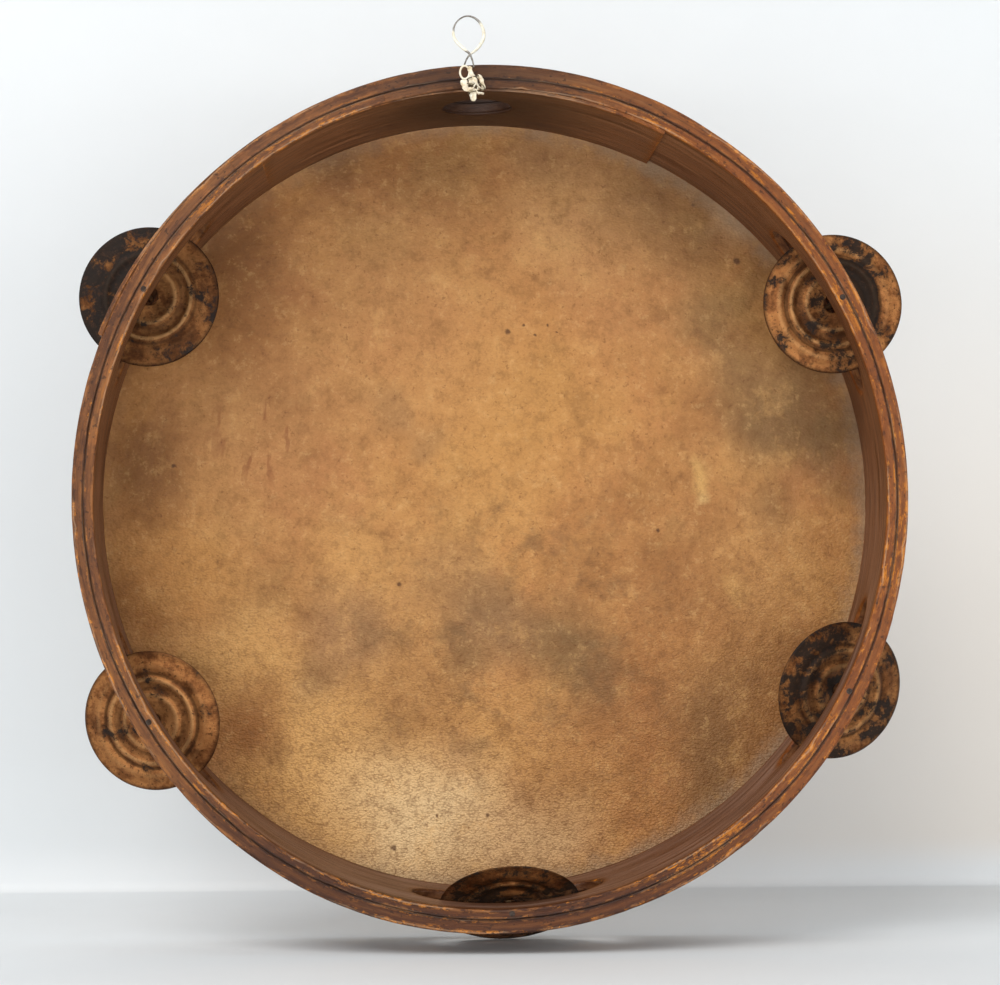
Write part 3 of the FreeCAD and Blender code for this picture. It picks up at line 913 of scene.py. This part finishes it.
def ply(name, strip, inner, outer, wear_inside, wear_outside, seed):
    """A bent strip as a closed solid with worn, rounded edges."""
    flat, faces = strip.triangles()
    used = sorted({i for f in faces for i in f})
    index = {old: new for new, old in enumerate(used)}
    flat = [flat[i] for i in used]
    faces = [tuple(index[i] for i in f) for f in faces]
    count = len(flat)
    points, coordinates, edge, reached = [], [], [], {}

    def put(s, y, radius, away):
        angle = math.degrees(s / STRIP_RADIUS)
        points.append(on_ring(angle, radius, y))
        coordinates.append((s * MM, y * MM, (radius - plain_inner(angle, y)) * MM))
        edge.append(away)

    aways = [strip.edge_distance(s, y) for s, y in flat]
    wears = [min(WEAR_REACH, strip.edge_distance(s, y, HOLE_EDGE_SHIFT)) for s, y in flat]
    for side, wear in ((0, wear_inside), (1, wear_outside)):
        for i, (s, y) in enumerate(flat):
            angle = math.degrees(s / STRIP_RADIUS)
            low, high = inner(angle, y), outer(angle, y)
            chip = max(0.0, wander(s, y, 0.16, seed + 3 + side)) ** 2
            worn = wear * (0.72 + 0.30 * wander(s, y, 0.07, seed + side) + 0.9 * chip)
            worn = min(max(worn, 0.12), 1.2, 0.42 * (high - low))
            dent = 0.05 * wander(s, y, 0.05, seed + 5) + 0.02 * wander(s, y, 0.3, seed + 6)
            sunk = rounded(aways[i], worn) + min(dent, 0.1 * (high - low))
            radius = high - sunk if side else low + sunk
            reached[side, i] = radius
            put(s, y, radius, wears[i])
    solid = list(faces) + [(c + count, b + count, a + count) for a, b, c in faces]

    uses = {}
    for a, b, c in faces:
        for pair in ((a, b), (b, c), (c, a)):
            uses.setdefault(tuple(sorted(pair)), []).append(pair)
    border = [pairs[0] for pairs in uses.values() if len(pairs) == 1]
    rows = {}
    for i in sorted({i for pair in border for i in pair}):
        s, y = flat[i]
        low, high = reached[0, i], reached[1, i]
        near = y < OPEN_Y + 0.01
        made = [i]
        for share in WALL_SHARES:
            radius = low + (high - low) * share
            pit = 0.07 + 0.09 * wander(s, radius, 0.35, seed + 9)
            if share in (WALL_SHARES[0], WALL_SHARES[-1]):
                pit *= 0.4
            away = min(share, 1 - share) * (high - low) if near else UNWORN
            made.append(len(points))
            put(s, y + pit if near else y, radius, away)
        made.append(i + count)
        rows[i] = made
    for a, b in border:
        for (a0, a1), (b0, b1) in zip(zip(rows[a], rows[a][1:]), zip(rows[b], rows[b][1:])):
            solid.append((a0, a1, b1, b0))

    made = link_mesh(name, points, solid)
    name_values(made, "strip", coordinates, "FLOAT_VECTOR", "vector")
    name_values(made, "edge", edge)
    tidy_normals(made)
    return made


def name_values(made, label, values, kind="FLOAT", key="value"):
    """Store one value for each vertex under a name that the materials read."""
    layer = made.data.attributes.new(label, kind, "POINT")
    layer.data.foreach_set(key, np.array(values, np.float32).ravel())


def tidy_normals(obj):
    mesh = bmesh.new()
    mesh.from_mesh(obj.data)
    bmesh.ops.recalc_face_normals(mesh, faces=mesh.faces)
    mesh.to_mesh(obj.data)
    mesh.free()


# ---------------------------------------------------------------- the skin


def outer_face_anywhere(angle, y):
    """The hoop's outer face at any angle, whole turns taken off."""
    first = OUTER_END_ANGLE - 360
    return outer_lap(first + (angle - first) % 360, max(min(y, HEAD_Y), OPEN_Y))


def ripple(radius, angle):
    """Creases that run in from the hoop, and slow waves over the middle."""
    turn = math.radians(angle)
    near = max(0.0, (radius - 96.0) / 27.0) ** 2 if radius < 123 else 0.0
    calm = min(1.0, (124.0 - radius) / 20.0) if radius < 124 else 0.0
    crease = noise.noise(Vector((math.cos(turn), math.sin(turn), radius * 0.006)) * 9.0)
    wave = noise.noise(Vector((math.cos(turn), 0, math.sin(turn))) * radius * 0.03)
    return 0.28 * near * crease + 0.16 * calm * wave


def skin_section(angle):
    """Radius and y of the closed sheet at an angle, from the middle of its inside, over
    the hoop's edge, down to the hem and back to the middle of its outside."""
    turn = math.radians(angle)
    top = -SKIN - SKIN_CORNER
    hem = -SKIRT + 0.7 * noise.noise(Vector((math.cos(turn), math.sin(turn), 3)) * 4)
    fall = [top + (hem - top) * i / SKIRT_ROWS for i in range(SKIRT_ROWS + 1)]
    edge = outer_face_anywhere(angle, HEAD_Y)
    section = [(r, -SKIN + min(0.25, max(-0.5, ripple(r, angle)))) for r in SKIN_RADII]
    section.append((edge - SKIN_CORNER, -SKIN))
    section += [(outer_face_anywhere(angle, y) + SKIN_GAP, y) for y in fall]
    section.append((outer_face_anywhere(angle, hem) + SKIN / 2, hem - 0.1))
    for y in reversed(fall[1:]):
        uneven = 0.04 * noise.noise(on_ring(angle, 700, 4 * y))
        section.append((outer_face_anywhere(angle, y) + SKIN - SKIN_GAP + uneven, y))
    for bend in (15, 45, 75):
        pull, lift = 1 - math.cos(math.radians(bend)), math.sin(math.radians(bend))
        out = edge + SKIN - SKIN_GAP - SKIN_BEND * pull
        section.append((out, SKIN_BEND * (lift - 1) - 0.01))
    section += [(r, min(0.0, 0.6 * ripple(r, angle) - 0.05)) for r in reversed(SKIN_RADII)]
    return section


def stretched_skin():
    """The head: a closed sheet, round over the hoop's back edge and down its side."""
    angles = [360.0 * k / SKIN_SIDES for k in range(SKIN_SIDES)]
    sections = [skin_section(angle) for angle in angles]
    rows = len(sections[0])
    vertices = []
    for angle, section in zip(angles, sections):
        vertices += [on_ring(angle, radius, y) for radius, y in section]
    faces = []
    for k in range(SKIN_SIDES):
        here, after = k * rows, (k + 1) % SKIN_SIDES * rows
        faces += [(here + i, after + i, after + i + 1, here + i + 1) for i in range(rows - 1)]
    for row, y in ((0, -SKIN), (rows - 1, -0.05)):
        middle = len(vertices)
        vertices.append(Vector((0, y * MM, 0)))
        ring = [k * rows + row for k in range(SKIN_SIDES)]
        faces += [(middle, here, after) for here, after in zip(ring, ring[1:] + ring[:1])]
    made = link_mesh("skin_head", vertices, faces)
    tidy_normals(made)
    return made


# ---------------------------------------------------------------- the jingles


def profile_height(radius):
    """A smooth curve through the jingle's profile."""
    r = np.array([p[0] for p in DISC_PROFILE])
    h = np.array([p[1] for p in DISC_PROFILE])
    slope = np.gradient(h, r)
    i = int(np.clip(np.searchsorted(r, radius) - 1, 0, len(r) - 2))
    width = r[i + 1] - r[i]
    t = (radius - r[i]) / width
    return (
        h[i] * (2 * t**3 - 3 * t**2 + 1)
        + slope[i] * width * (t**3 - 2 * t**2 + t)
        + h[i + 1] * (3 * t**2 - 2 * t**3)
        + slope[i + 1] * width * (t**3 - t**2)
    )


def disc_axes(node):
    """A disc's rim centre, its axis towards the boss, and a level direction across it."""
    points = np.array([v.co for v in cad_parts[node].data.vertices], float)
    chosen = points
    for _ in range(3):
        axis = Vector(np.linalg.svd(chosen - chosen.mean(0), full_matrices=False)[2][2])
        level = (Vector((1, 0, 0)) - axis * axis.x).normalized()
        frame_of = np.array((level, axis.cross(level), axis))
        turned = points @ frame_of.T
        middle = (turned.min(0) + turned.max(0)) / 2
        far = np.hypot(turned[:, 0] - middle[0], turned[:, 1] - middle[1])
        chosen = points[far > far.max() - 0.0001]
    rim_height = (chosen @ frame_of[2]).mean()
    boss_height = turned[far < 0.010, 2].mean()
    centre = Vector(frame_of[0] * middle[0] + frame_of[1] * middle[1] + frame_of[2] * rim_height)
    if boss_height < rim_height:
        axis = -axis
    return centre, axis, level


# Pressed rings: radius, width and height over the plain profile.
RINGS = [
    (17.1, 1.6, 0.66), (14.9, 0.7, -0.20), (13.2, 0.6, 0.13), (11.0, 1.2, -0.16), (8.5, 0.8, 0.13),
]

# Dents of each disc: radius and angle of the middle, size and height.
DENTS = {
    "front_upper_right": [(8.0, 200, 2.6, -0.35), (20.5, 250, 5.0, 0.35), (5.5, 300, 2.0, 0.3)],
    "back_upper_right": [(21.0, 340, 5.0, 0.8), (20.0, 300, 3.0, 0.3), (9.0, 60, 2.5, -0.3)],
    "front_upper_left": [(7.5, 60, 2.4, -0.35), (20.5, 300, 6.0, 0.4), (8.0, 330, 1.6, 0.25)],
    "back_upper_left": [(8.0, 100, 2.6, -0.3), (21.0, 180, 5.0, 0.4)],
    "front_lower_left": [(7.0, 30, 2.6, -0.3), (20.0, 220, 6.0, 0.35), (21.0, 350, 4.0, 0.4)],
    "back_lower_left": [(9.0, 300, 2.6, -0.3), (20.0, 40, 6.0, 0.3)],
    "front_bottom": [(21.5, 180, 6.5, 0.8), (17.5, 165, 3.0, -0.5)],
    "back_bottom": [(20.5, 20, 6.0, 0.35)],
    "front_lower_right": [(7.5, 150, 2.6, -0.3), (20.0, 320, 5.0, 0.4)],
    "back_lower_right": [(8.0, 10, 2.6, -0.3), (20.5, 90, 6.0, 0.3)],
}

# Each pair's sharpness of rings, lightness, and blackness inside the hoop, outside it, and outside
# it within the rings; the blackness outside the hoop is partly tarnish and partly painted shade
# from the hoop.
WEAR_AND_SHADE = {
    "upper_right": (0.95, 1.06, 0.04, 0.06, 0.24),
    "upper_left": (0.36, 0.80, 0.03, 0.17, 0.06),
    "lower_left": (0.62, 1.02, -0.03, 0.0, 0.02),
    "bottom": (0.60, 1.06, 0.08, 0.10, 0.0),
    "lower_right": (0.45, 0.98, 0.12, 0.08, 0.0),
}


def sheet_heights(which, seed, sharpness, radii, turns):
    """How high the middle of the pressed sheet stands, at each radius and each turn."""
    heights = np.empty((len(radii), len(turns)))
    dents = [
        (far * math.cos(math.radians(at)), far * math.sin(math.radians(at)), size, deep)
        for far, at, size, deep in DENTS[which]
    ]
    for i, radius in enumerate(radii):
        plain = profile_height(radius)
        rings = sum(lift * math.exp(-(((radius - at) / wide) ** 2)) for at, wide, lift in RINGS)
        free = min(1.0, (radius - radii[0]) / 2.5)
        for k, turn in enumerate(turns):
            spot = Vector((radius * math.cos(turn), radius * math.sin(turn), seed * 7.3))
            dent = 0.10 * noise.noise(spot * 0.16) + 0.05 * noise.noise(spot * 0.5)
            for x, y, size, deep in dents:
                gap = math.hypot(spot.x - x, spot.y - y)
                dent += deep * math.exp(-((gap / size) ** 2))
            kept = sharpness * (1 + 0.6 * noise.noise(spot * 0.09))
            heights[i, k] = plain + kept * rings + dent * free
    return heights


def jingle(which, seed, sharpness):
    """A pressed brass disc with rings, a boss, dents and an uneven rim."""
    middle, axis, level = disc_axes("jingle_" + which)
    across = axis.cross(level)
    sides, steps = DISC_SIDES, DISC_STEPS
    turns = [2 * math.pi * k / sides for k in range(sides)]
    inner_r, outer_r = DISC_PROFILE[0][0], DISC_PROFILE[-1][0]
    radii = [inner_r + (outer_r - inner_r) * i / steps for i in range(steps + 1)]
    heights = sheet_heights(which, seed, sharpness, radii, turns)
    vertices, crest, reach = [], [], []

    def put(i, k, lift, edge=0.0):
        radius, turn = radii[i], turns[k]
        uneven = 1.0
        if radius > outer_r - 1.5:
            uneven += 0.006 * noise.noise(Vector((math.cos(turn), math.sin(turn), seed)))
        flat = (level * math.cos(turn) + across * math.sin(turn)) * (radius * uneven - edge)
        vertices.append(middle + (flat + axis * (heights[i, k] + lift)) * MM)
        beside = heights[max(i - 2, 0), k] + heights[min(i + 2, steps), k]
        crest.append(max(-1.0, min(1.0, (heights[i, k] - beside / 2) * 4.0)))
        reach.append(radius / outer_r)

    half = DISC_SHEET / 2
    loops = [(i, half, 0.0) for i in range(steps)]
    loops += [(steps, half * 0.6, 0.05), (steps, 0.0, 0.0), (steps, -half * 0.6, 0.05)]
    loops += [(i, -half, 0.0) for i in reversed(range(steps))]
    for i, lift, edge in loops:
        for k in range(sides):
            put(i, k, lift, edge)
    made = link_mesh("disc_" + which, vertices, ring_faces(len(loops), sides, True))
    name_values(made, "crest", crest)
    name_values(made, "reach", reach)
    tidy_normals(made)
    return made


# ---------------------------------------------------------------- the hanger


def nurbs(name, points, radius, widths=None):
    """A smooth wire through space: an open NURBS curve with a round section."""
    curve = bpy.data.curves.new(name, "CURVE")
    curve.dimensions = "3D"
    curve.bevel_depth = radius
    curve.bevel_resolution = 4
    curve.use_fill_caps = True
    spline = curve.splines.new("NURBS")
    spline.points.add(len(points) - 1)
    for i, place in enumerate(points):
        spline.points[i].co = (*place, 1)
        spline.points[i].radius = widths[i] if widths else 1.0
    spline.order_u = 3
    spline.use_endpoint_u = True
    spline.resolution_u = 10
    made = bpy.data.objects.new(name, curve)
    bpy.context.scene.collection.objects.link(made)
    return made


def ribbon(name, points, twist, width, thickness):
    """A short crumpled strip of plastic that follows the points, edges rounded."""
    centre = [Vector(p) for p in points]
    steps, section = RIBBON_STEPS, RIBBON_SECTION
    vertices = []
    for i in range(steps + 1):
        t = i / steps * (len(centre) - 1)
        k = min(int(t), len(centre) - 2)
        before, after = centre[max(k - 1, 0)], centre[min(k + 2, len(centre) - 1)]
        u = t - k
        here = 0.5 * (
            2 * centre[k]
            + (centre[k + 1] - before) * u
            + (2 * before - 5 * centre[k] + 4 * centre[k + 1] - after) * u**2
            + (3 * centre[k] - before - 3 * centre[k + 1] + after) * u**3
        )
        ahead = (centre[k + 1] - centre[k]).normalized()
        side = ahead.cross(Vector((0, 1, 0.3))).normalized()
        side.rotate(Matrix.Rotation(math.radians(twist * i / steps), 3, ahead))
        face = ahead.cross(side).normalized()
        wide = width / 2 * (1 + 0.45 * noise.noise(here * 0.9))
        taper = math.sqrt(max(0.03, 1 - (2 * i / steps - 1) ** 6))
        for j in range(section):
            turn = 2 * math.pi * j / section
            fold = 0.55 * noise.noise(here * 1.1 + side * math.cos(turn))
            spot = here + side * (wide * taper * math.cos(turn))
            spot += face * (thickness / 2 * math.sin(turn) + fold * abs(math.cos(turn)))
            vertices.append(spot * MM)
    faces = ring_faces(steps + 1, section, False)
    faces.append(tuple(range(section)))
    faces.append(tuple(steps * section + j for j in reversed(range(section))))
    made = link_mesh(name, vertices, faces)
    tidy_normals(made)
    return made


def hanger():
    """The hanging wire, the crumpled knot of its coating and the thin binding wire."""
    route = [Vector(p) * MM for p in WIRE_ROUTE]
    wire = nurbs("hanger_wire", route, WIRE_DIAMETER / 2, WIRE_COAT)
    wire.data.materials.append(coated_wire())
    low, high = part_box("hanging_knot")
    middle = (low + high) / 2 / MM
    x, y, z = middle
    plastic = knot_ribbon()
    pieces = []
    for i, (points, twist, width) in enumerate(RIBBONS):
        path = [(x + p[0], y + p[1] + 0.3, z + p[2]) for p in points]
        made = ribbon(f"hanger_ribbon_{i + 1}", path, twist, width, RIBBON_THICKNESS)
        made.data.materials.append(plastic)
        pieces.append(made)

    thin = dull_metal(
        "hanger_binding_wire", 0.6, (1200, 4.0, 0.6), BINDING_TONES, 0.42, 0.0, 0.0001
    )
    thin_wires = {}
    for k, (height, reach, lean) in enumerate(BINDING_TURNS):
        loop = []
        for i in range(9):
            turn = 2 * math.pi * i / 8 * 0.97
            side, rise = reach * math.cos(turn), height + lean * math.cos(turn)
            loop.append((x + side, y + BINDING_DEPTH * math.sin(turn), z + rise))
        thin_wires[f"hanger_turn_{k + 1}"] = loop
    thin_wires["hanger_hook"] = [(x + p[0], y + p[1], z + p[2]) for p in BINDING_HOOK]
    ring = []
    for i in range(10):
        turn = 2 * math.pi * i / 9 * 0.96 + 0.6
        side, rise = RING_SIZE[0] * math.cos(turn), RING_SIZE[1] * math.sin(turn)
        ring.append((x + RING_PLACE[0] + side, y + RING_PLACE[1], z + RING_PLACE[2] + rise))
    thin_wires["hanger_ring"] = ring
    for name, path in thin_wires.items():
        plain = path is not ring
        radius = THIN_WIRE if plain else 1.5 * THIN_WIRE
        made = nurbs(name, [Vector(p) * MM for p in path], radius)
        made.data.materials.append(thin if plain else plastic)
        pieces.append(made)

    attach(wire, "hoop")
    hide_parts("hanging_wire")
    for made in pieces:
        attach(made, "hoop")
    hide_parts("hanging_knot")


# ---------------------------------------------------------------- the whole


aim_camera()
hanger()
make_stage()
light_scene()

hoop_wood = {
    "inner_ply": wood("hoop_wood_inner", (0.1, 0.0, 0.0), 1.0),
    "outer_ply": wood("hoop_wood_outer", (0.7, 0.2, 0.0), 0.96),
}
# Each ply: its name, CAD node, first and last angle, faces, wear inside and outside, seed.
PLIES = [
    ("ply_inner", "inner_ply", INNER_JOIN_ANGLE, INNER_JOIN_ANGLE + 360,
     plain_inner, glue_line, 0.75, 0.40, 11.0),
    ("ply_inner_end", "inner_ply", INNER_END_ANGLE, INNER_END_ANGLE + INNER_END_TAPER,
     inner_lap, under_inner_lap, 0.60, 0.20, 31.0),
    ("ply_outer", "outer_ply", OUTER_JOIN_ANGLE, OUTER_JOIN_ANGLE + 360,
     glue_line, plain_outer, 0.40, 0.80, 23.0),
    ("ply_outer_end", "outer_ply", OUTER_END_ANGLE - OUTER_END_TAPER, OUTER_END_ANGLE,
     under_outer_lap, outer_lap, 0.20, 0.60, 43.0),
]
for name, node, first, last, *shape in PLIES:
    made = ply(name, Strip(first, last), *shape)
    made.data.materials.append(hoop_wood[node])
    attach(made, "hoop")
    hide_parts(node)

skin = stretched_skin()
skin.data.materials.append(hide())
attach(skin, "hoop")
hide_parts("drumhead")

for i, place in enumerate(PLACES):
    for side in ("front", "back"):
        sharpness, *finish = WEAR_AND_SHADE[place]
        made = jingle(f"{side}_{place}", 2 * i + (side == "back"), sharpness)
        shift = (0.3 * i, 0.1, 0.7 * (side == "back"))
        made.data.materials.append(
            tarnished(f"jingle_brass_{side}_{place}", shift, *finish)
        )
        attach(made, f"{side}_jingle_{place}")
        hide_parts(f"jingle_{side}_{place}")

nail_finish = dull_metal("nail_steel", 0.8, (900, 5.0, 0.65), NAIL_TONES, 0.25, 0.40, 0.0002)
tack_finish = dull_metal("tack_brass_old", 0.8, (700, 5.0, 0.65), TACK_TONES, 0.28, 0.35, 0.0002)
for name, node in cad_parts.items():
    if name.startswith("pin_"):
        node.data.materials.clear()
        node.data.materials.append(nail_finish)
    if name in ("head_tacks", "lap_brads", "hanging_tack"):
        node.data.materials.clear()
        node.data.materials.append(tack_finish)
